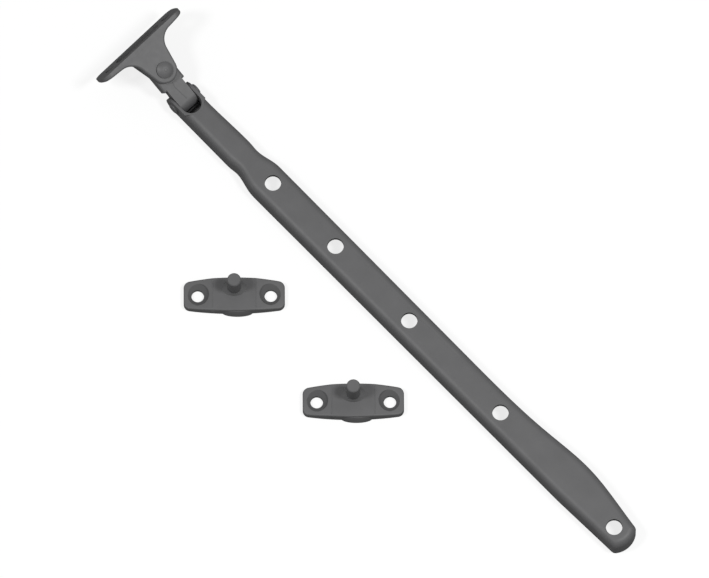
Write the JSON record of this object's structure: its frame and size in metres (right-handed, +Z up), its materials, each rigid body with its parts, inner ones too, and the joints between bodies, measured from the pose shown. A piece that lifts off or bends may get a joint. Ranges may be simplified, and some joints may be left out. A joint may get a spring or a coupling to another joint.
{
  "type": "casement window stay",
  "caption": "Channel arm with peg holes and a rounded grip, on a swivel link with a screwed sash bracket, and loose peg plates.",
  "frame": {"origin": "axis of the peg hole nearest the pivots, at the arm's top face", "axes": "+X along the arm towards its free end, +Z up out of the peg holes, so the arm's lower rim lies at -10 mm"},
  "size_m": [0.3152, 0.088, 0.0256],
  "materials": {
    "anthracite_arm": "satin powder coat",
    "anthracite_fittings": "satin powder coat",
    "anthracite_rivets": "satin powder coat"
  },
  "bodies": {
    "arm": {"stay_arm": "anthracite_arm", "lift_rivet": "anthracite_rivets", "peg_plate_1": "anthracite_fittings", "peg_plate_2": "anthracite_fittings"},
    "link": {"swivel_link": "anthracite_fittings"},
    "bracket": {"sash_bracket": "anthracite_fittings", "swing_rivet": "anthracite_rivets"}
  },
  "joints": [
    {"name": "lift", "type": "hinge", "parent": "arm", "child": "link", "pos_m": [-0.056, -0.0009, -0.005], "axis": [0, 1, 0], "range_deg": [-109, 61]},
    {"name": "swing", "type": "hinge", "parent": "link", "child": "bracket", "pos_m": [-0.07153, -0.0009, 0.00191], "axis": [0.4067, 0, 0.9135], "range_deg": [-86, 84]}
  ]
}
